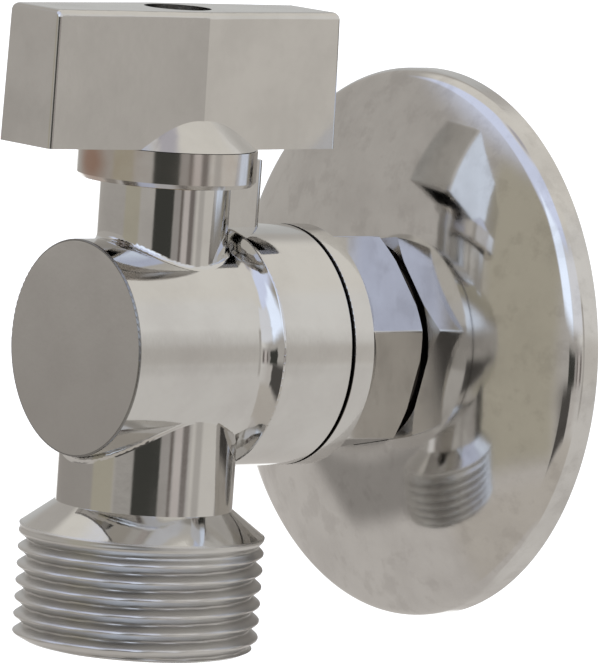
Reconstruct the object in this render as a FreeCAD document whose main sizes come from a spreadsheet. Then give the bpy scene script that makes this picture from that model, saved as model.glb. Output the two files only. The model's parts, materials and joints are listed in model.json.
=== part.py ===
import FreeCAD, Part
import math
import os
import re
import Sketcher
from FreeCAD import Vector

# Quarter-turn angle valve for a washing machine, in millimetres.
# The wall is the plane y = 0, the inlet runs into it along +Y and the outlet points down.
# Every piece is drawn about the point where the stem axis crosses the inlet axis, which lies
# stem_to_wall in front of the wall, so "y" in the formulas below is counted from the stem axis.

SIZES = {
    # Place of the valve in front of the wall
    "stem_to_wall": 36.7,
    # Ball, its seats and the waterway
    "ball_radius": 8.5,
    "port_radius": 5.0,
    "ball_clearance": 0.1,
    "chamber_gap": 0.5,
    "seat_bore": 5.2,
    "seat_lip": 7.0,
    "seat_reach": 8.9,
    "slot_width": 3.1,
    "slot_depth": 2.2,
    # Body casting
    "body_wall": 2.6,
    "front_wall": 1.7,
    "front_edge": 0.2,
    "shoulder_station": 7.8,
    "shoulder_fillet": 2.7,
    "shoulder_edge": 0.4,
    "collar_wall": 2.05,
    "collar_edge": 0.15,
    "seam_station": 16.7,
    "seam_gap": 0.33,
    "seam_depth": 0.9,
    "blend_radius": 0.8,
    "neck_wall": 2.95,
    "neck_top": 17.6,
    "neck_counterbore": 5.5,
    "neck_counterbore_top": 11.4,
    # Outlet with its hose thread, plain at the crest diameter
    "outlet_neck_radius": 9.5,
    "outlet_bore": 6.5,
    "outlet_mouth": 7.5,
    "outlet_mouth_length": 14.3,
    "outlet_neck_end": 17.0,
    "outlet_shoulder_length": 2.8,
    "outlet_thread_radius": 13.2205,
    "outlet_thread_length": 12.5,
    "outlet_chamfer": 1.5,
    # Stop lug behind the neck
    "lug_width": 3.2,
    "lug_reach": 12.0,
    "lug_rise": 2.3,
    "lug_gap": 0.4,
    "lug_edge": 0.9,
    "stop_clearance": 0.1,
    # Inlet adapter
    "spigot_step": 2.0,
    "spigot_clearance": 0.05,
    "groove_width": 1.7,
    "o_ring_section": 1.3,
    "adapter_bore": 5.2,
    "inlet_bore": 7.5,
    "inlet_bore_start": 20.0,
    "adapter_ring_length": 2.9,
    "hex_across": 22.0,
    "hex_turn": 13.3,
    "hex_edge": 0.35,
    "hex_rear_land": 11.3,
    "relief_radius": 9.3,
    "relief_length": 2.65,
    "inlet_thread_radius": 10.4775,
    "inlet_thread_reach": 10.3,
    "inlet_chamfer": 1.2,
    # Wall plate
    "plate_radius": 29.95,
    "plate_hole": 10.8,
    "plate_dome_radius": 34.5,
    "plate_shoulder": 2.2,
    "plate_skirt": 1.84,
    "plate_sheet": 0.7,
    "plate_rest_gap": 0.5,
    # Stem and its seals
    "stem_radius": 4.0,
    "running_gap": 0.05,
    "flange_radius": 5.2,
    "flange_thickness": 1.3,
    "washer_thickness": 0.75,
    "tang_width": 3.0,
    "tang_length": 8.0,
    "tang_gap": 0.2,
    "stem_ring_section": 1.15,
    "stem_ring_width": 1.6,
    "lower_ring_station": 13.2,
    "upper_ring_station": 15.9,
    "square_across": 5.6,
    "square_gap": 0.1,
    # Stop ring under the handle
    "ring_gap": 0.25,
    "ring_radius": 9.6,
    "ring_thickness": 3.85,
    "ring_hub": 7.5,
    "ring_edge": 0.5,
    # Handle
    "handle_gap": 0.05,
    "handle_length": 38.0,
    "handle_end_width": 9.1,
    "handle_mid_width": 12.1,
    "handle_height": 14.65,
    "handle_draft": 0.9,
    "handle_edge": 0.8,
    "handle_corner": 0.5,
    "skirt_inset": 0.2,
    "skirt_top_radius": 5.3,
    "skirt_rise": 3.75,
    "socket_depth": 8.0,
    "web_thickness": 1.6,
    "recess_radius": 3.6,
    "core_wall": 1.6,
    "core_margin": 0.4,
    "core_depth": 10.5,
    # Handle screw and its spring washer
    "screw_radius": 1.95,
    "screw_clearance": 0.1,
    "screw_length": 9.0,
    "head_radius": 3.1,
    "head_height": 2.2,
    "head_edge": 0.4,
    "driver_width": 0.9,
    "driver_length": 3.6,
    "driver_depth": 1.2,
    "spring_thickness": 0.9,
    "spring_split": 0.8,
}

# Sizes worked out from the driving ones
CHAMBER = "(ball_radius + chamber_gap)"
BODY_RADIUS = f"({CHAMBER} + body_wall)"
SPIGOT_RADIUS = f"({CHAMBER} + spigot_step)"
COLLAR_RADIUS = f"({SPIGOT_RADIUS} + collar_wall)"
SHOULDER_STEP = f"({COLLAR_RADIUS} - {BODY_RADIUS})"
SHOULDER_RADII = "(shoulder_fillet + shoulder_edge)"
SHOULDER_RUN = f"sqrt(2 * {SHOULDER_RADII} * {SHOULDER_STEP} - {SHOULDER_STEP}^2)"
EDGE_SHARE = f"shoulder_edge / {SHOULDER_RADII}"
FRONT = "(seat_reach + front_wall)"
NECK_RADIUS = "(stem_radius + running_gap + neck_wall)"
SEAT_SPHERE = "(ball_radius + ball_clearance)"
OUTLET_THREAD_TOP = "(outlet_neck_end + outlet_shoulder_length)"
OUTLET_END = f"({OUTLET_THREAD_TOP} + outlet_thread_length)"
RING_BOTTOM = "(neck_top + ring_gap)"
RING_TOP = f"({RING_BOTTOM} + ring_thickness)"
HANDLE_BOTTOM = f"({RING_TOP} + handle_gap)"
HANDLE_TOP = f"({HANDLE_BOTTOM} + handle_height)"
SKIRT_RADIUS = "(ring_radius - skirt_inset)"
CORE_START = f"({SKIRT_RADIUS} + core_margin)"
SOCKET_TOP = f"({HANDLE_BOTTOM} + socket_depth)"
WEB_TOP = f"({SOCKET_TOP} + web_thickness)"
HEAD_SEAT = f"({WEB_TOP} + spring_thickness)"
FLANGE_TOP = "(neck_counterbore_top - washer_thickness - running_gap)"
FLANGE_BOTTOM = f"({FLANGE_TOP} - flange_thickness)"
SLOT_BOTTOM = "(ball_radius - slot_depth)"
STEM_TOP = f"({SOCKET_TOP} - running_gap)"
PLATE_INNER_DOME = "(plate_dome_radius - plate_sheet)"
SHOULDER_CENTRE_RADIUS = "(plate_radius - plate_shoulder)"
SHOULDER_CENTRE = "(stem_to_wall - plate_skirt)"
DOME_TO_SHOULDER = "(plate_dome_radius - plate_shoulder)"
DOME_WIDTH = f"({SHOULDER_CENTRE_RADIUS} - plate_hole)"
DOME_DEPTH = f"sqrt({DOME_TO_SHOULDER}^2 - {DOME_WIDTH}^2)"
DOME_CENTRE = f"({SHOULDER_CENTRE} + {DOME_DEPTH})"
PLATE_FRONT = f"({DOME_CENTRE} - plate_dome_radius)"
PLATE_BACK = f"({PLATE_FRONT} + plate_sheet)"
HEX_REAR = f"({PLATE_FRONT} - plate_rest_gap)"
HEX_CORNER = "(hex_across / sqrt(3))"
ADAPTER_RING_END = "(seam_station + adapter_ring_length)"
ADAPTER_END = "(stem_to_wall + inlet_thread_reach)"

doc = FreeCAD.newDocument("angle_valve")
sheet = doc.addObject("Spreadsheet::Sheet", "sizes")
for row, (name, value) in enumerate(SIZES.items(), start=1):
    sheet.set(f"A{row}", name)
    sheet.set(f"B{row}", str(value))
    sheet.setAlias(f"B{row}", name)
doc.recompute()

nodes = []


def linked(formula):
    """The formula with every size read from the sheet."""
    def prefixed(match):
        word = match.group(0)
        return "sizes." + word if word in SIZES else word
    return re.sub(r"[a-z]\w*", prefixed, formula)


def measure(formula):
    """Value of a formula in millimetres."""
    return float(sheet.evalExpression(linked(formula)))


def bind(thing, prop, formula):
    thing.setExpression(prop, linked(formula))


def new_body(name):
    """Empty body drawn about the crossing of the stem and inlet axes."""
    body = doc.addObject("PartDesign::Body", name)
    return keep(body, name)


def keep(piece, name):
    """Name a finished piece, set it in front of the wall and list it for writing."""
    piece.Label = name
    bind(piece, "Placement.Base.y", "-stem_to_wall")
    nodes.append(piece)
    return piece


def sketch_on(body, plane, name, lift="0"):
    """Empty sketch on one of the body's own origin planes, lifted along the plane's normal."""
    sketch = body.newObject("Sketcher::SketchObject", name)
    support = next(f for f in body.Origin.OriginFeatures if f.Role == plane)
    sketch.AttachmentSupport = [(support, "")]
    sketch.MapMode = "FlatFace"
    if lift != "0":
        bind(sketch, "AttachmentOffset.Base.z", lift)
    return sketch


def add_arc(sketch, start, end, radius, side):
    """Arc from start to end with its centre on the left (side 1) or right (side -1) of the chord."""
    chord = end - start
    left = Vector(-chord.y, chord.x, 0).normalize()
    height = math.sqrt(max(radius ** 2 - (chord.Length / 2) ** 2, 0.0))
    centre = (start + end) * 0.5 + left * (height * side)
    first, last = (start, end) if side > 0 else (end, start)
    angles = [math.atan2(p.y - centre.y, p.x - centre.x) for p in (first, last)]
    circle = Part.Circle(centre, Vector(0, 0, 1), radius)
    return sketch.addGeometry(Part.ArcOfCircle(circle, angles[0], angles[1]), False)


def fix_point(sketch, edge, end, axis, formula, value):
    """Hold one end of a sketch edge on a coordinate line: a formula, or the axis itself for "0"."""
    if formula == "0":
        sketch.addConstraint(Sketcher.Constraint("PointOnObject", edge, end, -1 if axis == "Y" else -2))
        return
    index = sketch.addConstraint(Sketcher.Constraint("Distance" + axis, edge, end, value))
    bind(sketch, f"Constraints[{index}]", formula)


def outline(sketch, corners):
    """Closed outline through corners (x, y), or (x, y, radius, side) where an arc arrives at the corner."""
    points = [Vector(measure(c[0]), measure(c[1]), 0) for c in corners]
    edges = []
    for i, start in enumerate(points):
        arrival = corners[(i + 1) % len(corners)]
        end = points[(i + 1) % len(points)]
        if len(arrival) == 2:
            edges.append((sketch.addGeometry(Part.LineSegment(start, end), False), 1, 2))
            continue
        side = arrival[3]
        edge = add_arc(sketch, start, end, measure(arrival[2]), side)
        edges.append((edge, 1, 2) if side > 0 else (edge, 2, 1))
        index = sketch.addConstraint(Sketcher.Constraint("Radius", edge, measure(arrival[2])))
        bind(sketch, f"Constraints[{index}]", arrival[2])
    for i, (edge, first, last) in enumerate(edges):
        following, entry, _ = edges[(i + 1) % len(edges)]
        sketch.addConstraint(Sketcher.Constraint("Coincident", edge, last, following, entry))
        fix_point(sketch, edge, first, "X", corners[i][0], points[i].x)
        fix_point(sketch, edge, first, "Y", corners[i][1], points[i].y)


def turned(body, name, corners, axis, kind="PartDesign::Revolution"):
    """Profile in the plane of the pipe axes, turned about the inlet (H_Axis) or stem axis (V_Axis)."""
    sketch = sketch_on(body, "YZ_Plane", name + "_profile")
    outline(sketch, corners)
    feature = body.newObject(kind, name)
    feature.Profile = sketch
    feature.ReferenceAxis = (sketch, [axis])
    feature.Angle = 360
    body.Tip = feature
    doc.recompute()
    return feature


def raised(body, name, plane, corners, length, lift="0", kind="PartDesign::Pad", flipped=False, midplane=False):
    """Outline on a lifted origin plane, padded or pocketed by a length along the plane's normal."""
    sketch = sketch_on(body, plane, name + "_outline", lift)
    outline(sketch, corners)
    feature = body.newObject(kind, name)
    feature.Profile = sketch
    bind(feature, "Length", length)
    feature.Reversed = flipped
    feature.Midplane = midplane
    body.Tip = feature
    doc.recompute()
    return feature


def blended(body, name, feature, test, radius):
    """Fillet on every edge of a feature whose middle point passes the test."""
    edges = []
    for i, edge in enumerate(feature.Shape.Edges, start=1):
        if test(edge.valueAt((edge.FirstParameter + edge.LastParameter) / 2), edge):
            edges.append(f"Edge{i}")
    fillet = body.newObject("PartDesign::Fillet", name)
    fillet.Base = (feature, edges)
    bind(fillet, "Radius", radius)
    body.Tip = fillet
    doc.recompute()
    return fillet


def rectangle(x_low, x_high, y_low, y_high):
    return [(x_low, y_low), (x_high, y_low), (x_high, y_high), (x_low, y_high)]


def square(side):
    half = f"({side}) / 2"
    return rectangle("-" + half, half, "-" + half, half)


def polygon(count, corner_radius, first_angle):
    """Corners of a regular polygon, its first corner turned by an angle in degrees."""
    corners = []
    for i in range(count):
        angle = f"(({first_angle}) + {i * 360 / count}) * 1 deg"
        corners.append((f"{corner_radius} * cos({angle})", f"{corner_radius} * sin({angle})"))
    return corners


def make_body():
    """Forged body: barrel with a flat front boss and a wider rear collar, stem neck, outlet and stop lug."""
    body = new_body("body")
    turned(body, "barrel", [
        (f"-{FRONT}", "0"),
        (f"-{FRONT}", f"{BODY_RADIUS} - front_edge"),
        (f"-{FRONT} + front_edge", BODY_RADIUS, "front_edge", -1),
        ("seam_station", BODY_RADIUS),
        ("seam_station", "0"),
    ], "H_Axis")
    turned(body, "neck", [
        ("0", "0"),
        (NECK_RADIUS, "0"),
        (NECK_RADIUS, "neck_top"),
        ("0", "neck_top"),
    ], "V_Axis")
    outlet = turned(body, "outlet", [
        ("0", "0"),
        ("outlet_neck_radius", "0"),
        ("outlet_neck_radius", "-outlet_neck_end"),
        ("outlet_thread_radius", f"-{OUTLET_THREAD_TOP}"),
        ("outlet_thread_radius", f"-{OUTLET_END} + outlet_chamfer / 2"),
        ("outlet_thread_radius - outlet_chamfer", f"-{OUTLET_END}"),
        ("0", f"-{OUTLET_END}"),
    ], "V_Axis")
    reach = measure(BODY_RADIUS)
    necks = [measure(NECK_RADIUS), measure("outlet_neck_radius")]

    def on_junction(p, edge):
        """Curved edges where a neck meets the barrel."""
        across = math.hypot(p.x, p.y)
        on_neck = min(abs(across - r) for r in necks) < 0.01
        return on_neck and edge.Curve.TypeId != "Part::GeomLine" and 0.3 * reach < abs(p.z) < 1.2 * reach

    blended(body, "neck_blends", outlet, on_junction, "blend_radius")
    shoulder_start = f"shoulder_station - {SHOULDER_RUN}"
    edge_start = f"shoulder_station - {SHOULDER_RUN} * {EDGE_SHARE}"
    edge_radius = f"{COLLAR_RADIUS} - {SHOULDER_STEP} * {EDGE_SHARE}"
    turned(body, "collar", [
        (shoulder_start, "0"),
        (shoulder_start, BODY_RADIUS),
        (edge_start, edge_radius, "shoulder_fillet", 1),
        ("shoulder_station", COLLAR_RADIUS, "shoulder_edge", -1),
        ("seam_station - collar_edge", COLLAR_RADIUS),
        ("seam_station", f"{COLLAR_RADIUS} - collar_edge", "collar_edge", -1),
        ("seam_station", "0"),
    ], "H_Axis")
    lug_inner = "ring_hub + lug_gap"
    lug_root = "stem_radius + running_gap + neck_wall / 2"
    lug = raised(body, "stop_lug", "YZ_Plane", [
        (lug_root, CHAMBER),
        ("lug_reach", CHAMBER),
        ("lug_reach", f"{RING_BOTTOM} + lug_rise"),
        (lug_inner, f"{RING_BOTTOM} + lug_rise"),
        (lug_inner, "neck_top - ring_gap"),
        (lug_root, "neck_top - ring_gap"),
    ], "lug_width", midplane=True)
    lug_back = measure("lug_reach")

    def lug_upright(p, edge):
        """The two upright edges at the lug's back."""
        return edge.Curve.TypeId == "Part::GeomLine" and abs(p.y - lug_back) < 0.01 and abs(p.x) > 0.1

    blended(body, "lug_edges", lug, lug_upright, "lug_edge")
    spigot_hole = f"{SPIGOT_RADIUS} + spigot_clearance"
    turned(body, "chamber", [
        ("-seat_reach", "0"),
        ("-seat_reach", CHAMBER),
        ("seat_reach", CHAMBER),
        ("seat_reach", spigot_hole),
        ("seam_station + 1", spigot_hole),
        ("seam_station + 1", "0"),
    ], "H_Axis", "PartDesign::Groove")
    turned(body, "stem_bore", [
        ("0", "0"),
        ("neck_counterbore", "0"),
        ("neck_counterbore", "neck_counterbore_top"),
        ("stem_radius + running_gap", "neck_counterbore_top"),
        ("stem_radius + running_gap", "neck_top + 1"),
        ("0", "neck_top + 1"),
    ], "V_Axis", "PartDesign::Groove")
    turned(body, "outlet_passage", [
        ("0", "0"),
        ("outlet_bore", "0"),
        ("outlet_bore", f"-{OUTLET_END} + outlet_mouth_length"),
        ("outlet_mouth", f"-{OUTLET_END} + outlet_mouth_length"),
        ("outlet_mouth", f"-{OUTLET_END} - 1"),
        ("0", f"-{OUTLET_END} - 1"),
    ], "V_Axis", "PartDesign::Groove")


def make_adapter():
    """Inlet adapter: spigot in the body's collar, round ring, spanner hexagon and the wall thread."""
    body = new_body("inlet_adapter")
    groove_start = "seam_station - 2 * groove_width"
    groove_floor = f"{SPIGOT_RADIUS} - o_ring_section + spigot_clearance"
    hex_flat = "hex_across / 2"
    ring_radius = COLLAR_RADIUS
    turned(body, "turning", [
        ("seat_reach", "0"),
        ("seat_reach", SPIGOT_RADIUS),
        (groove_start, SPIGOT_RADIUS),
        (groove_start, groove_floor),
        (f"{groove_start} + groove_width", groove_floor),
        (f"{groove_start} + groove_width", SPIGOT_RADIUS),
        ("seam_station", SPIGOT_RADIUS),
        ("seam_station", f"{ring_radius} - seam_depth"),
        ("seam_station + seam_gap", f"{ring_radius} - seam_depth"),
        ("seam_station + seam_gap", f"{ring_radius} - collar_edge"),
        ("seam_station + seam_gap + collar_edge", ring_radius, "collar_edge", -1),
        (ADAPTER_RING_END, ring_radius),
        (f"{ADAPTER_RING_END} + {ring_radius} - {hex_flat}", hex_flat),
        (f"{ADAPTER_RING_END} + {ring_radius} - {hex_flat}", "relief_radius"),
        (f"{HEX_REAR} + relief_length", "relief_radius"),
        (f"{HEX_REAR} + relief_length + inlet_chamfer", "inlet_thread_radius"),
        (f"{ADAPTER_END} - inlet_chamfer", "inlet_thread_radius"),
        (ADAPTER_END, "inlet_thread_radius - inlet_chamfer"),
        (ADAPTER_END, "0"),
    ], "H_Axis")
    hexagon = raised(body, "hexagon", "XZ_Plane", polygon(6, HEX_CORNER, "hex_turn"),
                     f"{HEX_REAR} - {ADAPTER_RING_END}", lift=f"-{ADAPTER_RING_END}", flipped=True)
    corner = measure(HEX_CORNER)

    def hex_corner(p, edge):
        """The six edges that run along the hexagon."""
        return edge.Curve.TypeId == "Part::GeomLine" and abs(math.hypot(p.x, p.z) - corner) < 0.01

    blended(body, "hex_edges", hexagon, hex_corner, "hex_edge")
    beyond = f"{HEX_CORNER} + 1"
    turned(body, "hex_chamfer", [
        (HEX_REAR, "hex_rear_land"),
        (HEX_REAR, beyond),
        (f"{HEX_REAR} - ({beyond} - hex_rear_land) * tan(30 deg)", beyond),
    ], "H_Axis", "PartDesign::Groove")
    turned(body, "waterway", [
        ("seat_reach - 1", "0"),
        ("seat_reach - 1", "adapter_bore"),
        ("inlet_bore_start - (inlet_bore - adapter_bore)", "adapter_bore"),
        ("inlet_bore_start", "inlet_bore"),
        (f"{ADAPTER_END} + 1", "inlet_bore"),
        (f"{ADAPTER_END} + 1", "0"),
    ], "H_Axis", "PartDesign::Groove")


def make_o_ring(name, section, centre_radius, station, upright):
    """Round-section seal about the stem axis (upright) or the inlet axis."""
    ring = doc.addObject("Part::Torus", name)
    bind(ring, "Radius1", centre_radius)
    bind(ring, "Radius2", f"({section}) / 2")
    if upright:
        bind(ring, "Placement.Base.z", station)
        keep(ring, name)
        return
    ring.Placement = FreeCAD.Placement(Vector(), FreeCAD.Rotation(Vector(1, 0, 0), -90))
    keep(ring, name)
    bind(ring, "Placement.Base.y", f"-stem_to_wall + {station}")


def make_ball():
    """Ball with a port that turns the flow from the inlet down to the outlet, and a slot for the stem."""
    blank = doc.addObject("Part::Sphere", "ball_blank")
    bind(blank, "Radius", "ball_radius")
    bend = doc.addObject("Part::Sphere", "port_bend")
    bind(bend, "Radius", "port_radius")
    ports = [bend]
    for name, turn in (("port_in", -90), ("port_out", 180)):
        port = doc.addObject("Part::Cylinder", name)
        bind(port, "Radius", "port_radius")
        bind(port, "Height", "ball_radius + 1")
        port.Placement = FreeCAD.Placement(Vector(), FreeCAD.Rotation(Vector(1, 0, 0), turn))
        ports.append(port)
    slot = doc.addObject("Part::Box", "stem_slot")
    bind(slot, "Length", "2 * ball_radius")
    bind(slot, "Width", "slot_width")
    bind(slot, "Height", "slot_depth + 1")
    bind(slot, "Placement.Base.x", "-ball_radius")
    bind(slot, "Placement.Base.y", "-slot_width / 2")
    bind(slot, "Placement.Base.z", SLOT_BOTTOM)
    hollows = doc.addObject("Part::MultiFuse", "ball_hollows")
    hollows.Shapes = ports + [slot]
    ball = doc.addObject("Part::Cut", "ball")
    ball.Base = blank
    ball.Tool = hollows
    keep(ball, "ball")


def make_seat(name, sign):
    """Seat ring whose inner edge is cut to the ball's sphere, in front of the ball (-) or behind it."""
    body = new_body(name)
    outer = f"{CHAMBER} - spigot_clearance"
    at_lip = f"{sign}sqrt({SEAT_SPHERE}^2 - seat_lip^2)"
    at_bore = f"{sign}sqrt({SEAT_SPHERE}^2 - seat_bore^2)"
    back = f"{sign}seat_reach"
    side = 1 if sign == "-" else -1
    turned(body, name + "_ring", [
        (back, "seat_bore"),
        (back, outer),
        (at_lip, outer),
        (at_lip, "seat_lip"),
        (at_bore, "seat_bore", SEAT_SPHERE, side),
    ], "H_Axis")


def make_stem():
    """Stem: tang in the ball's slot, thrust flange, grooved shaft and a square for the ring and handle."""
    body = new_body("stem")
    floor = "stem_radius + running_gap - stem_ring_section - running_gap / 2"
    corners = [("0", FLANGE_BOTTOM), ("flange_radius", FLANGE_BOTTOM), ("flange_radius", FLANGE_TOP),
               ("stem_radius", FLANGE_TOP)]
    for station in ("lower_ring_station", "upper_ring_station"):
        low = f"{station} - stem_ring_width / 2"
        high = f"{station} + stem_ring_width / 2"
        corners += [("stem_radius", low), (floor, low), (floor, high), ("stem_radius", high)]
    corners += [("stem_radius", RING_BOTTOM), ("0", RING_BOTTOM)]
    turned(body, "shaft", corners, "V_Axis")
    half_length = "tang_length / 2"
    half_width = "tang_width / 2"
    tang_bottom = f"{SLOT_BOTTOM} + tang_gap"
    raised(body, "tang", "XY_Plane", rectangle("-" + half_length, half_length, "-" + half_width, half_width),
           f"{FLANGE_BOTTOM} - {tang_bottom}", lift=tang_bottom)
    raised(body, "square", "XY_Plane", square("square_across"), f"{STEM_TOP} - {RING_BOTTOM}", lift=RING_BOTTOM)
    hole = "screw_radius + running_gap"
    turned(body, "screw_hole", [
        ("0", f"{WEB_TOP} - screw_length - 1"),
        (hole, f"{WEB_TOP} - screw_length - 1"),
        (hole, f"{STEM_TOP} + 1"),
        ("0", f"{STEM_TOP} + 1"),
    ], "V_Axis", "PartDesign::Groove")


def make_washer():
    """Thrust washer between the stem's flange and the shoulder in the neck."""
    body = new_body("thrust_washer")
    inner = "stem_radius + screw_clearance"
    outer = "neck_counterbore - running_gap"
    bottom = "neck_counterbore_top - washer_thickness"
    turned(body, "washer_ring", [
        (inner, bottom), (outer, bottom), (outer, "neck_counterbore_top"), (inner, "neck_counterbore_top"),
    ], "V_Axis")


def make_stop_ring():
    """Ring on the stem's square, cut away over a quarter turn so that its two ends meet the lug."""
    body = new_body("stop_ring")
    turned(body, "ring_disc", [
        ("0", RING_BOTTOM),
        ("ring_radius - ring_edge", RING_BOTTOM),
        ("ring_radius", f"{RING_BOTTOM} + ring_edge"),
        ("ring_radius", RING_TOP),
        ("0", RING_TOP),
    ], "V_Axis")
    near = "lug_width / 2 + stop_clearance"
    beyond = "ring_radius + 1"
    raised(body, "quarter_notch", "XY_Plane", rectangle("-" + f"({beyond})", near, f"-({near})", beyond),
           "ring_thickness + 2", lift=f"{RING_TOP} + 1", kind="PartDesign::Pocket")
    turned(body, "ring_hub_disc", [
        ("0", RING_BOTTOM), ("ring_hub", RING_BOTTOM), ("ring_hub", RING_TOP), ("0", RING_TOP),
    ], "V_Axis")
    raised(body, "ring_square", "XY_Plane", square("square_across + 2 * square_gap"),
           "ring_thickness + 2", lift=f"{RING_TOP} + 1", kind="PartDesign::Pocket")


def make_handle():
    """Bar handle with a long kite plan, drafted sides, a conical skirt, a stem socket and a cored underside."""
    body = new_body("handle")
    half_length = "handle_length / 2"
    half_end = "handle_end_width / 2"
    half_mid = "handle_mid_width / 2"
    bar = raised(body, "bar", "XY_Plane", [
        (half_end, f"-{half_length}"), (half_mid, "0"), (half_end, half_length),
        (f"-{half_end}", half_length), (f"-{half_mid}", "0"), (f"-{half_end}", f"-{half_length}"),
    ], "handle_height", lift=HANDLE_BOTTOM)
    bind(bar, "TaperAngle", "-handle_draft")
    doc.recompute()
    bottom = measure(HANDLE_BOTTOM)
    top = measure(HANDLE_TOP)

    def end_corner(p, edge):
        """The four upright edges at the bar's ends."""
        return bottom + 0.1 < p.z < top - 0.1 and abs(p.y) > 1.0

    def top_edge(p, edge):
        return p.z > top - 0.01

    corners = blended(body, "end_corners", bar, end_corner, "handle_corner")
    blended(body, "top_edges", corners, top_edge, "handle_edge")
    turned(body, "skirt", [
        ("0", HANDLE_BOTTOM),
        (SKIRT_RADIUS, HANDLE_BOTTOM),
        ("skirt_top_radius", f"{HANDLE_BOTTOM} + skirt_rise"),
        ("0", f"{HANDLE_BOTTOM} + skirt_rise"),
    ], "V_Axis")
    raised(body, "socket", "XY_Plane", square("square_across + 2 * square_gap"), "socket_depth + 1",
           lift=f"{HANDLE_BOTTOM} - 1", kind="PartDesign::Pocket", flipped=True)
    turned(body, "screw_recess", [
        ("0", f"{SOCKET_TOP} - 1"),
        ("screw_radius + screw_clearance", f"{SOCKET_TOP} - 1"),
        ("screw_radius + screw_clearance", WEB_TOP),
        ("recess_radius", WEB_TOP),
        ("recess_radius", f"{HANDLE_TOP} + 1"),
        ("0", f"{HANDLE_TOP} + 1"),
    ], "V_Axis", "PartDesign::Groove")
    core_end = f"({half_length} - core_wall)"
    taper = f"({half_mid} - {half_end}) / ({half_length})"
    wide = f"({half_mid} - {taper} * {CORE_START} - core_wall)"
    narrow = f"({half_mid} - {taper} * {core_end} - core_wall)"
    for side, sign in (("front", "-"), ("rear", "")):
        raised(body, f"{side}_core", "XY_Plane", [
            (wide, f"{sign}{CORE_START}"), (narrow, f"{sign}{core_end}"),
            (f"-{narrow}", f"{sign}{core_end}"), (f"-{wide}", f"{sign}{CORE_START}"),
        ], "core_depth + 1", lift=f"{HANDLE_BOTTOM} - 1", kind="PartDesign::Pocket", flipped=True)


def make_screw():
    """Handle screw with a cross recess, standing in the handle's top recess."""
    body = new_body("handle_screw")
    head_top = f"({HEAD_SEAT} + head_height)"
    turned(body, "screw_blank", [
        ("0", f"{WEB_TOP} - screw_length"),
        ("screw_radius", f"{WEB_TOP} - screw_length"),
        ("screw_radius", HEAD_SEAT),
        ("head_radius", HEAD_SEAT),
        ("head_radius", f"{head_top} - head_edge"),
        ("head_radius - head_edge", head_top, "head_edge", 1),
        ("0", head_top),
    ], "V_Axis")
    half_width = "driver_width / 2"
    half_length = "driver_length / 2"
    for name, x, y in (("recess_long", half_length, half_width), ("recess_cross", half_width, half_length)):
        raised(body, name, "XY_Plane", rectangle("-" + x, x, "-" + y, y),
               "driver_depth + 1", lift=f"{head_top} + 1", kind="PartDesign::Pocket")


def make_spring_washer():
    """Split spring washer under the screw's head."""
    body = new_body("spring_washer")
    inner = "screw_radius + screw_clearance"
    turned(body, "coil", [
        (inner, WEB_TOP), ("head_radius", WEB_TOP), ("head_radius", HEAD_SEAT), (inner, HEAD_SEAT),
    ], "V_Axis")
    half = "spring_split / 2"
    raised(body, "split", "XY_Plane", rectangle("0", "head_radius + 1", "-" + half, half),
           "spring_thickness + 2", lift=f"{HEAD_SEAT} + 1", kind="PartDesign::Pocket")


def make_plate():
    """Pressed wall plate: a dome that starts flat at the hole, a rounded shoulder and a short skirt."""
    body = new_body("wall_plate")

    def tangent_point(dome):
        """Where the dome's arc of a given radius runs into the shoulder's arc."""
        share = f"{dome} / {DOME_TO_SHOULDER}"
        return f"{DOME_CENTRE} - {DOME_DEPTH} * {share}", f"plate_hole + {DOME_WIDTH} * {share}"

    turned(body, "pressing", [
        (PLATE_BACK, "plate_hole", PLATE_INNER_DOME, 1),
        (PLATE_FRONT, "plate_hole"),
        (*tangent_point("plate_dome_radius"), "plate_dome_radius", -1),
        (SHOULDER_CENTRE, "plate_radius", "plate_shoulder", -1),
        ("stem_to_wall", "plate_radius"),
        ("stem_to_wall", "plate_radius - plate_sheet"),
        (SHOULDER_CENTRE, "plate_radius - plate_sheet"),
        (*tangent_point(PLATE_INNER_DOME), "plate_shoulder - plate_sheet", 1),
    ], "H_Axis")


make_body()
make_adapter()
make_o_ring("adapter_o_ring", "o_ring_section", f"{SPIGOT_RADIUS} + spigot_clearance - o_ring_section / 2",
            "seam_station - 1.5 * groove_width", upright=False)
make_ball()
make_seat("front_seat", "-")
make_seat("rear_seat", "")
make_stem()
make_washer()
stem_ring_centre = "stem_radius + running_gap / 2 - stem_ring_section / 2"
for seal in ("lower", "upper"):
    make_o_ring(f"{seal}_stem_o_ring", "stem_ring_section", stem_ring_centre, f"{seal}_ring_station", upright=True)
make_stop_ring()
make_handle()
make_screw()
make_spring_washer()
make_plate()
doc.recompute()

for thing in doc.Objects:
    if "Invalid" in thing.State or "Error" in thing.State:
        raise RuntimeError(f"{thing.Name} failed to build: {thing.State}")
for piece in nodes:
    if piece.Shape.isNull() or not piece.Shape.isValid():
        raise RuntimeError(f"{piece.Label} has no valid shape")

os.makedirs("parts", exist_ok=True)
for piece in nodes:
    piece.Shape.exportStep(f"parts/{piece.Label}.step")
    print(f"{piece.Label:22s} {piece.Shape.Volume:10.2f} mm3, {len(piece.Shape.Solids)} solid")
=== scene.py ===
import json
import math
import bmesh
import bpy
import numpy as np
from mathutils import Matrix, Vector


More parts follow.
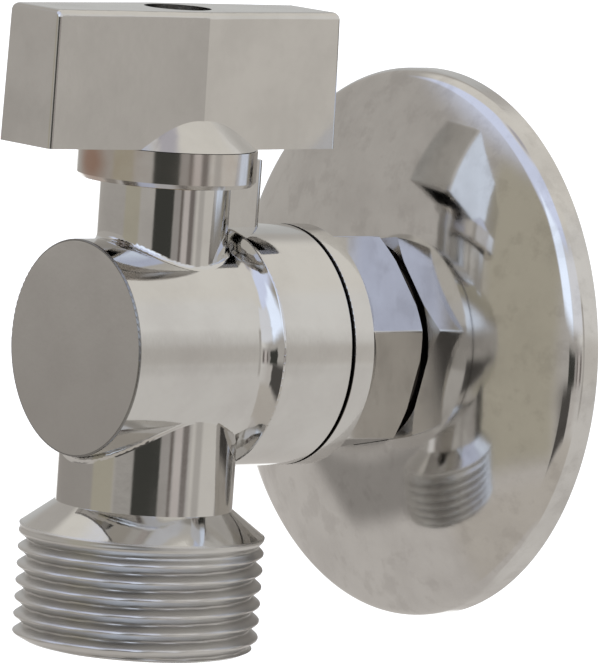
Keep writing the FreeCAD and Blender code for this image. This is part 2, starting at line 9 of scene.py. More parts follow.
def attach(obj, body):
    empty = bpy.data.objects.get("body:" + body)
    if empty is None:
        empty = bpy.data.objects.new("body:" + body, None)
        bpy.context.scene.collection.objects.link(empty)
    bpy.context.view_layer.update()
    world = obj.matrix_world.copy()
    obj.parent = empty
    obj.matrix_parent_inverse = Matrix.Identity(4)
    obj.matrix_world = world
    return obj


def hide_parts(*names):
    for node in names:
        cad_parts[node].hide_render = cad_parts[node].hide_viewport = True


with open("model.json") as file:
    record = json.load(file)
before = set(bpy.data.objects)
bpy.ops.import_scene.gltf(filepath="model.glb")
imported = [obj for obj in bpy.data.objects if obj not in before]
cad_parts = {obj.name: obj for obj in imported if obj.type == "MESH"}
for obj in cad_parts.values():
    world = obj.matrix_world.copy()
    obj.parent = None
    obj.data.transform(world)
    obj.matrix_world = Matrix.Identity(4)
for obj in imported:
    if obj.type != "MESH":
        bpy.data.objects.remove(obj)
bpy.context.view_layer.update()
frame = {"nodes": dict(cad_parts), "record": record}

MM = 0.001

# Lengths of the valve, in millimetres: the wall is the plane y = 0, the inlet axis runs along +Y through
# the origin and the stem axis stands upright through STEM_Y
STEM_Y = -36.7
OUTLET_THREAD = {"crest": 13.2205, "pitch": 1.814, "top": -19.75, "end": -33.6}
INLET_THREAD = {"crest": 10.4775, "pitch": 1.814, "top": -5.9, "end": 11.6}
THREAD_DEPTH, CREST_WEAR, DIE_WALL = 0.95, 0.04, 2.0
SEAM_Y, SEAM_GAP, SEAM_EDGE, SEAM_REACH = -20.0, 0.33, 0.15, 1.0
BOSS, BOSS_FRONT, BOSS_EDGE, BOSS_MARGIN = 11.6, -47.3, 0.2, 0.1
HEX_REAR_Y, HEX_MARGIN, HEX_GAP = -9.35, 0.02, 3.0
PLATE = {"rim": 29.95, "hole": 10.8, "dome": 34.5, "shoulder": 2.2, "skirt": 1.84, "sheet": 0.7}

# Shares of the thread's wave, and its run-out in pitches
CREST_FLAT, ROOT_FLAT, THREAD_EASE, THREAD_RUN_OUT = 0.08, 0.10, 0.35, 0.9

# Fineness of the turned meshes
DIE_TURNS, DIE_STEPS = 180, 150
PLATE_TURNS, DOME_STEPS, SHOULDER_STEPS = 320, 60, 24
MERGE_DIGITS = 4

# Axes that pieces were turned about, what counts as a turned face, and the degrees that a smooth surface
# may bend between two faces
INLET_AXIS = (np.array([0.0, 1.0, 0.0]), np.zeros(3))
STEM_AXIS = (np.array([0.0, 0.0, 1.0]), np.array([0.0, STEM_Y * MM, 0.0]))
AXES = [INLET_AXIS, STEM_AXIS]
TURNED_ASIDE, TURNED_SPREAD = 0.05, 0.03
SMOOTH_LIMIT, ADAPTER_LIMIT = 28.0, 14.0
ON_AXIS, NO_NORMAL = 1e-12, 1e-30

# Marks: painted shade in gaps, on edges and in thread roots, a painted reflection, dull spots and dull
# plating; soft edges and places in millimetres, shares of full shade and dullness
EDGE_SOFT, RELIEF_SOFT, THREAD_SOFT = 0.05, 0.03, 0.3
ROOT_MARGIN, ROOT_SHADE_START = 0.2, 0.45
HOLE_EDGE_FAR, HOLE_EDGE_NEAR = 0.3, 0.1
ROOT_SHADE, THREAD_DULLNESS, RIM_SHADE = 0.2, 0.6, 0.6
# Colour of the painted shade, and the roughness added where the plating is dull
PAINTED_SHADE_COLOUR, RECESS_DULLNESS = (0.030, 0.026, 0.023), 0.4
# A warm reflection painted on the stop ring as a brown spot
REFLECTION_PLACE, REFLECTION_REACH, REFLECTION_CORE = (-0.77, -46.27, 19.9), 3.4, 0.2
REFLECTION_SHARE, REFLECTION_COLOUR = 0.85, (0.46, 0.28, 0.205)
MOTTLE_SHARE, MOTTLE_COLOUR = 0.42, (0.50, 0.485, 0.47)

# Noise of the finishes, its scale per metre, and the stretch of its values that each effect takes up
CLOUD_NOISE = {"Scale": 130.0, "Detail": 4.0, "Roughness": 0.6}
MOTTLE_NOISE = {"Scale": 330.0, "Detail": 4.0, "Roughness": 0.6}
GRAIN_NOISE = {"Detail": 3.0, "Roughness": 0.55}
MOULD_NOISE = {"Detail": 5.0}
HAZE_STRETCH, GLOSS_STRETCH = (0.35, 0.75), (0.3, 0.7)
MOTTLE_STRETCH, MOULD_STRETCH = (0.5, 0.68), (0.3, 0.7)
SKIN_DEPTH = 0.0001

scene = bpy.context.scene
nodes = frame["nodes"]
body_of_node = {n: b for b, members in frame["record"]["behaviour"]["bodies"].items() for n in members}


def new_object(name, mesh):
    obj = bpy.data.objects.new(name, mesh)
    scene.collection.objects.link(obj)
    return obj


def grid_faces(rows, cols):
    """Quads of a grid of points numbered row by row; the last row and column join the first ones."""
    r, c = np.meshgrid(np.arange(rows), np.arange(cols), indexing="ij")
    r1, c1 = (r + 1) % rows, (c + 1) % cols
    return np.stack([r * cols + c, r * cols + c1, r1 * cols + c1, r1 * cols + c], -1).reshape(-1, 4)


def mesh_from(name, points, faces):
    """Mesh in metres from an array of points in millimetres and an array of triangles or quads."""
    mesh = bpy.data.meshes.new(name)
    points = np.asarray(points, np.float64).reshape(-1, 3) * MM
    mesh.vertices.add(len(points))
    mesh.vertices.foreach_set("co", points.ravel())
    mesh.loops.add(faces.size)
    mesh.loops.foreach_set("vertex_index", faces.ravel().astype(np.int32))
    mesh.polygons.add(len(faces))
    mesh.polygons.foreach_set("loop_start", np.arange(0, faces.size, faces.shape[1], dtype=np.int32))
    mesh.update(calc_edges=True)
    mesh.validate()
    return mesh


def recalculated(mesh):
    """The mesh with its faces turned to point outwards."""
    work = bmesh.new()
    work.from_mesh(mesh)
    bmesh.ops.recalc_face_normals(work, faces=work.faces)
    work.to_mesh(mesh)
    work.free()
    return mesh


def around(axis, centre, radius, turn, station):
    """Points at a radius and turn about an axis of the valve: Z is the stem axis, Y the inlet axis.

    Across the axis they lie at radius times cosine and sine of the turn, and along it at the station."""
    a, b = radius * np.cos(turn), radius * np.sin(turn)
    if axis == "Z":
        return np.stack([a + centre[0], b + centre[1], station + centre[2] + 0 * turn], -1)
    return np.stack([b + centre[0], station + centre[1] + 0 * turn, a + centre[2]], -1)


def thread_depth(phase):
    """Depth of a pipe thread over one turn, 0 on the crest and 1 at the root.

    A triangle wave with a narrow flat on the crest and at the root, eased a little by a smooth step."""
    wave = 1.0 - np.abs((phase % 1.0) * 2.0 - 1.0)
    ramp = np.clip((wave - CREST_FLAT) / (1.0 - CREST_FLAT - ROOT_FLAT), 0.0, 1.0)
    return ramp + THREAD_EASE * (ramp * ramp * (3.0 - 2.0 * ramp) - ramp)


def thread_die(name, thread, axis, centre, sense):
    """Ring whose inner wall is the thread itself, to be cut from a plain end.

    Inner wall: radius = crest - wear - depth(phase), phase = station / pitch - turn / full turn, a
    right-hand helix; the depth grows from nothing over the run-out at the thread's top. The sense says
    whether the thread's end lies up (1) or down (-1) the axis from its top."""
    turn = np.linspace(0, 2 * np.pi, DIE_TURNS, endpoint=False)[None, :]
    low, high = sorted((thread["top"], thread["end"]))
    station = np.linspace(low, high, DIE_STEPS)[:, None]
    along = (station - thread["top"]) * sense
    fade = np.clip(along / (THREAD_RUN_OUT * thread["pitch"]), 0.0, 1.0)
    phase = station / thread["pitch"] - turn / (2 * np.pi)
    wall = thread["crest"] - CREST_WEAR - THREAD_DEPTH * fade * thread_depth(phase)
    outer = np.full((1, DIE_TURNS), thread["crest"] + DIE_WALL)
    radius = np.concatenate([wall, outer, outer])
    stations = np.concatenate([station, [[high], [low]]]) + 0 * turn
    points = around(axis, centre, radius, turn + 0 * radius, stations)
    return recalculated(mesh_from(name, points, grid_faces(len(radius), DIE_TURNS)))


def plate_mesh():
    """Wall plate: a profile turned about the inlet axis.

    Profile, from the hole outwards: an arc that starts flat at the hole's edge, a shoulder arc tangent to
    it, a straight skirt to the wall, and the same line offset inwards by the sheet's thickness."""
    p = PLATE
    width = p["rim"] - p["shoulder"] - p["hole"]
    tilt = math.asin(width / (p["dome"] - p["shoulder"]))
    shoulder_y = -p["skirt"]
    centre_y = shoulder_y + width / math.tan(tilt)

    def line(offset):
        """Radius and station along the profile, offset inwards."""
        dome, bend = p["dome"] - offset, p["shoulder"] - offset
        a = np.linspace(0.0, tilt, DOME_STEPS)
        b = np.linspace(tilt, np.pi / 2, SHOULDER_STEPS)[1:]
        radius = np.concatenate([
            p["hole"] + dome * np.sin(a), p["hole"] + width + bend * np.sin(b), [p["rim"] - offset]])
        station = np.concatenate([centre_y - dome * np.cos(a), shoulder_y - bend * np.cos(b), [0.0]])
        return radius, station

    outer_r, outer_y = line(0.0)
    inner_r, inner_y = line(p["sheet"])
    radius = np.concatenate([outer_r, inner_r[::-1]])[:, None]
    station = np.concatenate([outer_y, inner_y[::-1]])[:, None]
    turn = np.linspace(0, 2 * np.pi, PLATE_TURNS, endpoint=False)[None, :]
    points = around("Y", (0, 0, 0), radius + 0 * turn, turn + 0 * radius, station + 0 * turn)
    return recalculated(mesh_from("wall_plate_pressing", points, grid_faces(len(radius), PLATE_TURNS)))


def merged_copy(node):
    """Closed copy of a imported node's mesh: corners that share a place become one point, and slivers go."""
    source = nodes[node].data
    source.calc_loop_triangles()
    corners = np.empty(len(source.vertices) * 3)
    source.vertices.foreach_get("co", corners)
    faces = np.empty(len(source.loop_triangles) * 3, np.int32)
    source.loop_triangles.foreach_get("vertices", faces)
    rounded = np.round(corners.reshape(-1, 3) / MM, MERGE_DIGITS)
    places, index = np.unique(rounded, axis=0, return_inverse=True)
    faces = index.reshape(-1)[faces].reshape(-1, 3)
    whole = (faces != np.roll(faces, 1, axis=1)).all(axis=1)
    return mesh_from(node + "_merged", places, faces[whole])


def cut_away(obj, tool_mesh):
    """Cut a closed tool mesh out of the object."""
    tool = new_object(tool_mesh.name, tool_mesh)
    step = obj.modifiers.new("cut", "BOOLEAN")
    step.operation = "DIFFERENCE"
    step.solver = "EXACT"
    step.object = tool
    graph = bpy.context.evaluated_depsgraph_get()
    mesh = bpy.data.meshes.new_from_object(obj.evaluated_get(graph))
    obj.modifiers.clear()
    obj.data = mesh
    bpy.data.objects.remove(tool)


def read(group, prop, width, kind=np.float64):
    """Values of one property of a mesh's vertices, corners or faces, one row each."""
    values = np.empty(len(group) * width, kind)
    group.foreach_get(prop, values)
    return values.reshape(-1, width) if width > 1 else values


def outward(points, axis, through):
    """Unit vectors that lead away from an axis."""
    away = points - through
    away -= (away @ axis)[:, None] * axis
    return away / np.maximum(np.linalg.norm(away, axis=1), ON_AXIS)[:, None]


def turned_faces(axes, normal, middle, corners, face, first):
    """Number of the axis that each face was turned about, or -1.

    A turned face has no sideways share in its normal, and its corners lie on one line of the profile:
    their radius and station, weighed by the normal's radial and axial shares, add up to the same length."""
    about = np.full(len(normal), -1)
    least = np.full(len(normal), TURNED_ASIDE)
    for k, (axis, through) in enumerate(axes):
        out = outward(middle, axis, through)
        aside = np.abs(np.einsum("ij,ij->i", normal, np.cross(axis, out)))
        radius = np.einsum("ij,ij->i", corners - through, outward(corners, axis, through))
        level = radius * np.einsum("ij,ij->i", normal, out)[face] + corners @ axis * (normal @ axis)[face]
        spread = np.maximum.reduceat(level, first) - np.minimum.reduceat(level, first)
        mine = (aside < least) & (spread < TURNED_SPREAD * MM)
        about[mine], least[mine] = k, aside[mine]
    return about


def true_normals(mesh, limit=SMOOTH_LIMIT, crease=None, axes=AXES):
    """Set each face corner's normal to the mean, by area, of like faces round its point.

    Faces are alike where they turn less than a limit. A face that was turned about the stem or inlet axis
    takes part by its radial and axial shares, carried to the corner's own radial direction, so turned
    surfaces come out true; where a blend meets one, the blend takes the turned surface's normal. Faces on
    the two sides of a crease plane y = crease are kept apart."""
    corner = read(mesh.loops, "vertex_index", 1, np.int32)
    points = read(mesh.vertices, "co", 3)
    normal = read(mesh.polygons, "normal", 3)
    area = read(mesh.polygons, "area", 1)
    middle = read(mesh.polygons, "center", 3)
    face = np.repeat(np.arange(len(normal)), read(mesh.polygons, "loop_total", 1, np.int32))
    starts = read(mesh.polygons, "loop_start", 1, np.int32)
    turned_about = turned_faces(axes, normal, middle, points[corner], face, starts)
    order = np.argsort(corner, kind="stable")
    count = np.bincount(corner, minlength=len(points))
    first = np.cumsum(count) - count
    own = np.repeat(np.arange(len(corner)), count[corner])
    place = np.arange(len(own)) - np.repeat(np.cumsum(count[corner]) - count[corner], count[corner])
    other = face[order[first[corner[own]] + place]]
    alike = np.einsum("ij,ij->i", normal[face[own]], normal[other]) > math.cos(math.radians(limit))
    if crease is not None:
        side = middle[:, 1] > crease * MM
        alike &= side[face[own]] == side[other]
    own, other = own[alike], other[alike]
    share = normal[other]
    for k, (axis, through) in enumerate(axes):
        here = turned_about[other] == k
        axial = share[here] @ axis
        radial = np.einsum("ij,ij->i", share[here], outward(middle[other[here]], axis, through))
        away = outward(points[corner[own[here]]], axis, through)
        share[here] = axial[:, None] * axis + radial[:, None] * away
    share *= area[other][:, None]
    free = turned_about[other] < 0

    def total(rows):
        return np.stack([np.bincount(own[rows], share[rows, i], len(corner)) for i in range(3)], -1)

    mean = total(~free)
    mean = np.where(np.linalg.norm(mean, axis=1)[:, None] > 0.0, mean, total(free))
    size = np.linalg.norm(mean, axis=1)[:, None]
    mean = np.where(size > 0.0, mean / np.maximum(size, NO_NORMAL), normal[face])
    mesh.polygons.foreach_set("use_smooth", np.ones(len(normal), bool))
    mesh.normals_split_custom_set(mean)


def dress(obj, body, slot, material, replaced, **shading):
    """Give a piece its true normals and its finish, and let it ride on its body."""
    obj.data.materials.clear()
    obj.data.materials.append(material)
    true_normals(obj.data, **shading)
    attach(obj, body)
    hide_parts(*replaced)


class Nodes:
    """Short hand for making and joining shader nodes."""

    def __init__(self, tree):
        self.tree = tree
        self.tree.nodes.clear()

    def add(self, kind, inputs=None, **settings):
        node = self.tree.nodes.new(kind)
        for key, value in settings.items():
            setattr(node, key, value)
        for key, value in (inputs or {}).items():
            self.feed(node.inputs[key], value)
        return node

    def feed(self, socket, value):
        if isinstance(value, bpy.types.NodeSocket):
            self.tree.links.new(value, socket)
        else:
            socket.default_value = value

    def math(self, operation, *values):
        return self.add("ShaderNodeMath", dict(enumerate(values)), operation=operation).outputs[0]

    def step(self, value, low, high):
        """Smooth step from 0 at low to 1 at high."""
        inputs = {"Value": value, "From Min": low, "From Max": high}
        return self.add("ShaderNodeMapRange", inputs, interpolation_type="SMOOTHSTEP").outputs["Result"]

    def noise(self, place, settings):
        return self.add("ShaderNodeTexNoise", {"Vector": place, **settings}).outputs["Fac"]

    def parts(self, vector):
        """The three coordinates of a place or direction."""
        return self.add("ShaderNodeSeparateXYZ", {"Vector": vector}).outputs

    def mix(self, share, a, b):
        """Colour that goes from a to b with the share."""
        node = self.add("ShaderNodeMix", data_type="RGBA")
        self.feed(node.inputs["Factor"], share)
        for key, value in (("A", a), ("B", b)):
            socket = next(s for s in node.inputs if s.name == key and s.type == "RGBA")
            self.feed(socket, (*value, 1.0) if isinstance(value, tuple) else value)
        return next(s for s in node.outputs if s.type == "RGBA")


def new_material(name):
    """Empty material and its nodes."""
    material = bpy.data.materials.new(name)
    material.use_nodes = True
    return material, Nodes(material.node_tree)


def surface(n, bump, grain, inputs):
    """Shader with a slightly uneven skin, joined to the material's output."""
    skin = n.add("ShaderNodeBump", {"Strength": bump, "Distance": SKIN_DEPTH, "Height": grain})
    shader = n.add("ShaderNodeBsdfPrincipled", {**inputs, "Normal": skin.outputs["Normal"]})
    n.add("ShaderNodeOutputMaterial", {"Surface": shader.outputs["BSDF"]})


def metal(name, colour, haze, roughness, spread, grain, bump, painted_shade_and_dullness=None, wear_and_painted_reflection=None):
    """Plated or turned metal: a mirror with faint cloudy patches, uneven gloss and a slight skin texture.

    One mask function gives a mask for painted shade in gaps, on edges and in thread roots, and one for dull
    metal. The other gives a mask and a colour for spotted plating or for a painted reflection."""
    material, n = new_material(name)
    place = n.add("ShaderNodeTexCoord").outputs["Object"]
    cloud = n.noise(place, CLOUD_NOISE)
    fine = n.noise(place, {"Scale": grain, **GRAIN_NOISE})
    base = n.mix(n.step(cloud, *HAZE_STRETCH), colour, haze)
    gloss = n.add("ShaderNodeMapRange", {
        "Value": cloud, "From Min": GLOSS_STRETCH[0], "From Max": GLOSS_STRETCH[1],
        "To Min": roughness - spread, "To Max": roughness + spread}).outputs["Result"]
    # Spotted plating, or a painted reflection, mixed into the colour
    if wear_and_painted_reflection:
        mask, worn_and_reflected = wear_and_painted_reflection
        base = n.mix(mask(n, place), base, worn_and_reflected)
    # Painted shade: a near-black colour mixed in by the dark mask, and more roughness where the metal is
    # dull
    if painted_shade_and_dullness:
        dark, dull = painted_shade_and_dullness(n, place)
        base = n.mix(dark, base, PAINTED_SHADE_COLOUR)
        gloss = n.math("ADD", gloss, n.math("MULTIPLY", dull, RECESS_DULLNESS))
    surface(n, bump, fine, {"Base Color": base, "Metallic": 1.0, "Roughness": gloss})
    return material


def moulded(name, colour, shade, roughness, grain, bump):
    """Moulded seat or seal material: mottled colour and a fine matt skin."""
    material, n = new_material(name)
    place = n.add("ShaderNodeTexCoord").outputs["Object"]
    fine = n.noise(place, {"Scale": grain, **MOULD_NOISE})
    base = n.mix(n.step(fine, *MOULD_STRETCH), colour, shade)
    surface(n, bump, fine, {"Base Color": base, "Roughness": roughness})
    return material


def away_from(n, a, b):
    """Distance from an axis, from the two coordinates across it."""
    squares = n.math("ADD", n.math("MULTIPLY", a, a), n.math("MULTIPLY", b, b))
    return n.math("SQRT", squares)


def between(n, value, low, high, soft):
    """1 where a length lies between two others, in millimetres, with soft ends."""
    return n.math("MULTIPLY", n.step(value, (low - soft) * MM, low * MM),
                  n.step(value, (high + soft) * MM, high * MM))


def seam_boss_and_thread(n, place):
    """Body: painted shade in the seam groove, on the boss's edge and in thread roots, and a dull thread."""
    x, y, z = n.parts(place)
    groove = between(n, y, SEAM_Y - 0.5 * SEAM_EDGE, SEAM_Y + SEAM_GAP, EDGE_SOFT)
    # Painted shade along the front edge of the boss
    rim = n.math("MULTIPLY",
                 between(n, y, BOSS_FRONT - BOSS_MARGIN, BOSS_FRONT + BOSS_EDGE, EDGE_SOFT),
                 between(n, away_from(n, x, z), BOSS - BOSS_EDGE, BOSS + BOSS_MARGIN, EDGE_SOFT))
    groove = n.math("MAXIMUM", groove, n.math("MULTIPLY", rim, RIM_SHADE))
    across = away_from(n, x, n.math("SUBTRACT", y, STEM_Y * MM))
    crest, root = OUTLET_THREAD["crest"], OUTLET_THREAD["crest"] - THREAD_DEPTH
    outside = n.step(across, (root - 2 * ROOT_MARGIN) * MM, (root - ROOT_MARGIN) * MM)
    along = between(n, z, OUTLET_THREAD["end"], OUTLET_THREAD["top"], THREAD_SOFT)
    thread = n.math("MULTIPLY", outside, along)
    deep = n.math("MULTIPLY", n.step(across, (crest - ROOT_SHADE_START) * MM, root * MM), thread)
    return (n.math("MAXIMUM", groove, n.math("MULTIPLY", deep, ROOT_SHADE)),
            n.math("MAXIMUM", groove, n.math("MULTIPLY", thread, THREAD_DULLNESS)))


def seam_and_hex_gap(n, place):
    """Adapter: painted shade in the seam groove in front of its ring and in the thread relief between
    hexagon and plate.
    """
    y = n.parts(place)["Y"]
    groove = between(n, y, SEAM_Y - SEAM_REACH, SEAM_Y + SEAM_GAP + 0.5 * SEAM_EDGE, EDGE_SOFT)
    relief = between(n, y, HEX_REAR_Y - HEX_MARGIN, HEX_REAR_Y + HEX_GAP, RELIEF_SOFT)
    hidden = n.math("MAXIMUM", groove, relief)
    return hidden, hidden


def plate_hole_edge(n, place):
    """Plate: painted shade on the cut edge of its hole."""
    x, _, z = n.parts(place)
    hole = PLATE["hole"]
    edge = n.step(away_from(n, x, z), (hole + HOLE_EDGE_FAR) * MM, (hole + HOLE_EDGE_NEAR) * MM)
    return edge, edge


def ring_painted_reflection(n, place):
    """Stop ring: a soft-edged brown spot of painted reflection, by the distance from its middle."""
    middle = tuple(v * MM for v in REFLECTION_PLACE)
    away = n.add("ShaderNodeVectorMath", {0: place, 1: middle}, operation="DISTANCE").outputs["Value"]
    spot = n.step(away, REFLECTION_REACH * MM, REFLECTION_CORE * REFLECTION_REACH * MM)
    return n.math("MULTIPLY", spot, REFLECTION_SHARE)


def plate_mottle(n, place):
    """Wall plate: small grey spots where the plating has dulled."""
    return n.math("MULTIPLY", n.step(n.noise(place, MOTTLE_NOISE), *MOTTLE_STRETCH), MOTTLE_SHARE)


chrome_body = metal("chrome_forging", (0.665, 0.66, 0.647), (0.61, 0.60, 0.588),
                    roughness=0.07, spread=0.03, grain=900.0, bump=0.03, painted_shade_and_dullness=seam_boss_and_thread)
chrome_adapter = metal("chrome_turning", (0.665, 0.66, 0.647), (0.62, 0.61, 0.598),
                       roughness=0.06, spread=0.02, grain=900.0, bump=0.02, painted_shade_and_dullness=seam_and_hex_gap)
# The stop ring carries a painted reflection as a brown spot
chrome_ring = metal("chrome_ring", (0.65, 0.635, 0.615), (0.57, 0.515, 0.47),
                    roughness=0.13, spread=0.04, grain=900.0, bump=0.03, wear_and_painted_reflection=(ring_painted_reflection, REFLECTION_COLOUR))
chrome_plate = metal("chrome_pressing", (0.68, 0.67, 0.655), (0.60, 0.588, 0.573),
                     roughness=0.09, spread=0.03, grain=700.0, bump=0.03, painted_shade_and_dullness=plate_hole_edge,
                     wear_and_painted_reflection=(plate_mottle, MOTTLE_COLOUR))
chrome_handle = metal("chrome_casting", (0.665, 0.655, 0.638), (0.605, 0.595, 0.578),
                      roughness=0.11, spread=0.04, grain=800.0, bump=0.05)
ball_metal = metal("polished_ball", (0.78, 0.78, 0.77), (0.72, 0.72, 0.71),
                   roughness=0.05, spread=0.02, grain=900.0, bump=0.02)
stem_brass = metal("turned_brass", (0.78, 0.60, 0.30), (0.66, 0.50, 0.24),
                   roughness=0.22, spread=0.06, grain=1500.0, bump=0.10)
screw_zinc = metal("zinc_steel", (0.62, 0.62, 0.60), (0.50, 0.50, 0.48),
                   roughness=0.30, spread=0.08, grain=1200.0, bump=0.10)
seat_plastic = moulded("seat_plastic", (0.90, 0.90, 0.88), (0.82, 0.82, 0.80),
                       roughness=0.45, grain=900.0, bump=0.05)
seal_rubber = moulded("seal_rubber", (0.020, 0.020, 0.021), (0.035, 0.034, 0.033),
                      roughness=0.55, grain=1500.0, bump=0.10)

body = new_object("valve_body_forging", merged_copy("body"))
cut_away(body, thread_die("outlet_die", OUTLET_THREAD, "Z", (0.0, STEM_Y, 0.0), -1))
dress(body, "valve_body", "chrome", chrome_body, ["body"])

adapter = new_object("inlet_adapter_turning", merged_copy("inlet_adapter"))
cut_away(adapter, thread_die("inlet_die", INLET_THREAD, "Y", (0.0, 0.0, 0.0), 1))
dress(adapter, "valve_body", "chrome", chrome_adapter, ["inlet_adapter"], limit=ADAPTER_LIMIT)

plate = new_object("wall_plate_pressing", plate_mesh())
dress(plate, "valve_body", "chrome", chrome_plate, ["wall_plate"])

FINISHES = {
    "stop_ring": ("chrome", chrome_ring), "handle": ("chrome", chrome_handle),
    "handle_screw": ("steel", screw_zinc), "spring_washer": ("steel", screw_zinc),
    "ball": ("polished_ball", ball_metal), "stem": ("brass", stem_brass),
    "front_seat": ("seat_plastic", seat_plastic), "rear_seat": ("seat_plastic", seat_plastic),
    "thrust_washer": ("seat_plastic", seat_plastic), "adapter_o_ring": ("rubber", seal_rubber),
    "lower_stem_o_ring": ("rubber", seal_rubber), "upper_stem_o_ring": ("rubber", seal_rubber),
}
# The handle's sides meet in creases in the stem's plane, and none of its faces is taken for a turned one
HANDLE_SHADING = {"crease": STEM_Y, "axes": []}

for node, (slot, finish) in FINISHES.items():
    piece = new_object(node + "_finished", merged_copy(node))
    shading = HANDLE_SHADING if node == "handle" else {}
    dress(piece, body_of_node[node], slot, finish, [node], **shading)

# Camera: angles in degrees, lengths in metres, focal length and frame height in pixels
AZIMUTH, ELEVATION, ROLL = 51.924, 6.531, 4.033
DISTANCE = 0.901329
TARGET = Vector((0.0, 0.019538 + STEM_Y * MM, 0.001314))
FOCAL_PIXELS, FRAME_HEIGHT = 8328.629, 663.0
SENSOR_MM, CLIP_NEAR, CLIP_FAR = 24.0, 0.01, 50.0


def photo_camera():
    """Camera that looks at the target from an azimuth, an elevation and a distance, then rolled."""
    azimuth, elevation, roll = (math.radians(v) for v in (AZIMUTH, ELEVATION, ROLL))
    back = Vector((math.sin(azimuth) * math.cos(elevation), -math.cos(azimuth) * math.cos(elevation),
                   math.sin(elevation)))
    level = Vector((math.cos(azimuth), math.sin(azimuth), 0.0))
    upright = back.cross(level)
    right = math.cos(roll) * level + math.sin(roll) * upright
    up = -math.sin(roll) * level + math.cos(roll) * upright
    lens = bpy.data.cameras.new("camera")
    lens.sensor_fit = "VERTICAL"
    lens.sensor_height = SENSOR_MM
    lens.lens = FOCAL_PIXELS * SENSOR_MM / FRAME_HEIGHT
    lens.clip_start, lens.clip_end = CLIP_NEAR, CLIP_FAR
    camera = bpy.data.objects.new("camera", lens)
    camera.matrix_world = Matrix((
        (right.x, up.x, back.x, TARGET.x + back.x * DISTANCE),
        (right.y, up.y, back.y, TARGET.y + back.y * DISTANCE),
        (right.z, up.z, back.z, TARGET.z + back.z * DISTANCE),
        (0.0, 0.0, 0.0, 1.0)))
    scene.collection.objects.link(camera)
    scene.camera = camera


photo_camera()
scene.view_settings.view_transform = "Standard"

# Studio round the valve, by direction in degrees: azimuth 0 is the front (-Y), 90 is +X; elevation 0 is
# level. Each thing has a name, the azimuth of its middle, half its width, its lowest and highest edge, how
# soft the edges are and its colour; a later thing stands before an earlier one.
STUDIO = [
    ("shaded_wall_left", -52, 55, -9, -6, 2, (0.29, 0.27, 0.25)),
    ("shaded_wall_right", 92, 22, -9, 4, 3, (0.31, 0.29, 0.275)),
    ("low_wall_right", 138, 28, -10, 6, 4, (0.55, 0.525, 0.49)),
    ("warm_ceiling", 0, 180, 42, 95, 5, (0.68, 0.655, 0.61)),
    ("cool_ceiling", 10, 85, 37, 78, 6, (0.69, 0.75, 0.95)),
    ("lamp_well", 0, 180, 83, 95, 3, (0.44, 0.425, 0.46)),
    ("side_window", 90, 28, 10, 42, 3, (0.71, 0.72, 0.76)),
    ("window", 38, 23, 10, 46, 5, (0.95, 1.06, 1.26)),
    ("tan_cupboard", -5, 15, -25, 33, 3, (0.375, 0.35, 0.285)),
    ("shade_under_shelf", -47, 14, -26, -11, 3, (0.26, 0.245, 0.23)),
    ("near_table", 40, 70, -65, -29, 4, (0.46, 0.43, 0.39)),
    ("stand_foot", 36, 24, -29, -9, 3, (0.075, 0.07, 0.065)),
    ("camera_stand", 53, 17, -10, 2, 2, (0.045, 0.045, 0.04)),
    ("curtain_fold", 84, 2, -9, 1, 2, (0.13, 0.11, 0.10)),
    ("curtain", 93, 5, -10, 3, 2, (0.50, 0.46, 0.44)),
    ("curtain_fold", 103, 4, -9, 1, 2, (0.17, 0.15, 0.14)),
    ("curtain_fold", 122, 5.5, -20, 20, 3, (0.41, 0.39, 0.365)),
    ("door_gap", 180, 22, -13, 0, 3, (0.19, 0.175, 0.165)),
    ("backdrop_roll", -123, 15, -4, 32, 4, (0.46, 0.46, 0.45)),
    ("backdrop", -123, 13, -22, -5, 2, (0.98, 0.98, 0.97)),
]
TABLE_LEFT, TABLE_RIGHT = (0.49, 0.465, 0.44), (0.57, 0.55, 0.525)
WALL_LEFT, WALL_RIGHT = (0.415, 0.395, 0.37), (0.68, 0.665, 0.64)
TABLE_EDGE_LOW, TABLE_EDGE_HIGH = -14.0, -8.0
RIGHT_MIDDLE, RIGHT_FAR, RIGHT_NEAR = 150.0, 80.0, 40.0
HALF_TURN = 180.0
STUDIO_STRENGTH = 1.22
WHITE = (1.0, 1.0, 1.0)


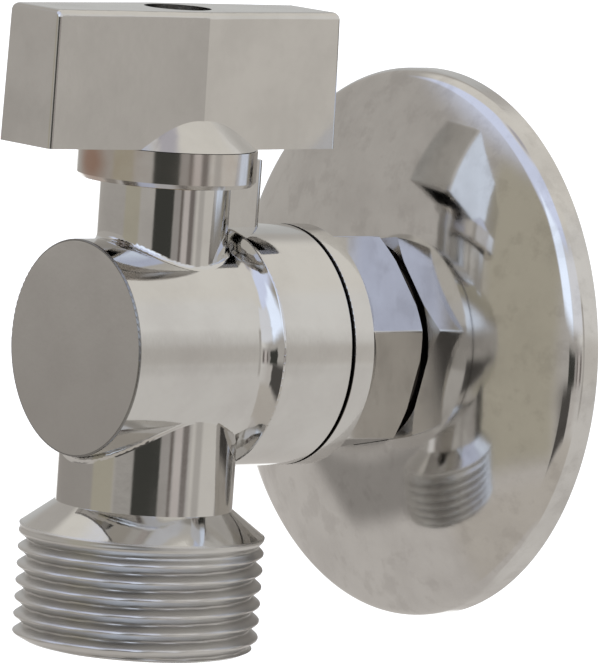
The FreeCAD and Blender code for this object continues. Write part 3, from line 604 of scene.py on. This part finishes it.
def studio():
    """Room light from a table, two walls and the things in STUDIO; the camera itself sees plain white."""
    world = bpy.data.worlds.new("studio")
    world.use_nodes = True
    scene.world = world
    n = Nodes(world.node_tree)
    x, y, z = n.parts(n.add("ShaderNodeTexCoord").outputs["Generated"])
    azimuth = n.math("DEGREES", n.math("ARCTAN2", x, n.math("MULTIPLY", y, -1.0)))
    elevation = n.math("DEGREES", n.math("ARCSINE", z))

    def aside(middle):
        """Angle to a direction along the horizon, 0 to 180 degrees."""
        return n.math("PINGPONG", n.math("SUBTRACT", azimuth, middle), HALF_TURN)

    right = n.step(aside(RIGHT_MIDDLE), RIGHT_FAR, RIGHT_NEAR)
    table = n.mix(right, TABLE_LEFT, TABLE_RIGHT)
    wall = n.mix(right, WALL_LEFT, WALL_RIGHT)
    colour = n.mix(n.step(elevation, TABLE_EDGE_LOW, TABLE_EDGE_HIGH), table, wall)
    for _, middle, half, low, high, soft, paint in STUDIO:
        above = n.step(elevation, low - soft, low + soft)
        below = n.step(elevation, high + soft, high - soft)
        share = n.math("MULTIPLY", above, below)
        if half < HALF_TURN:
            share = n.math("MULTIPLY", share, n.step(aside(middle), half + soft, half - soft))
        colour = n.mix(share, colour, paint)
    seen = n.add("ShaderNodeLightPath").outputs["Is Camera Ray"]
    colour = n.mix(seen, colour, WHITE)
    strength = n.math("MULTIPLY_ADD", seen, 1.0 - STUDIO_STRENGTH, STUDIO_STRENGTH)
    light = n.add("ShaderNodeBackground", {"Color": colour, "Strength": strength})
    n.add("ShaderNodeOutputWorld", {"Surface": light.outputs["Background"]})


studio()

# Floor, in metres
FLOOR_HALF, FLOOR_DROP = 6.0, -0.16
FLOOR_PAINT, FLOOR_GLOW = (0.9, 0.9, 0.9, 1.0), 0.6


def pale_floor():
    """Plain pale floor well below the valve; mirrors look through it to the studio's own table."""
    h, z = FLOOR_HALF, FLOOR_DROP
    points = np.array([[-h, -h, z], [h, -h, z], [h, h, z], [-h, h, z]]) / MM
    floor = new_object("floor", mesh_from("floor", points, np.array([[0, 1, 2, 3]])))
    material, n = new_material("floor_white")
    path = n.add("ShaderNodeLightPath").outputs
    paint = n.add("ShaderNodeBsdfDiffuse", {"Color": FLOOR_PAINT})
    strength = n.math("MULTIPLY", path["Is Camera Ray"], FLOOR_GLOW)
    glow = n.add("ShaderNodeEmission", {"Color": (*WHITE, 1.0), "Strength": strength})
    lit = n.add("ShaderNodeAddShader", {0: paint.outputs[0], 1: glow.outputs[0]})
    clear = n.add("ShaderNodeBsdfTransparent")
    pale = n.add("ShaderNodeMixShader", {
        0: path["Is Glossy Ray"], 1: lit.outputs[0], 2: clear.outputs[0]})
    n.add("ShaderNodeOutputMaterial", {"Surface": pale.outputs[0]})
    floor.data.materials.append(material)


pale_floor()
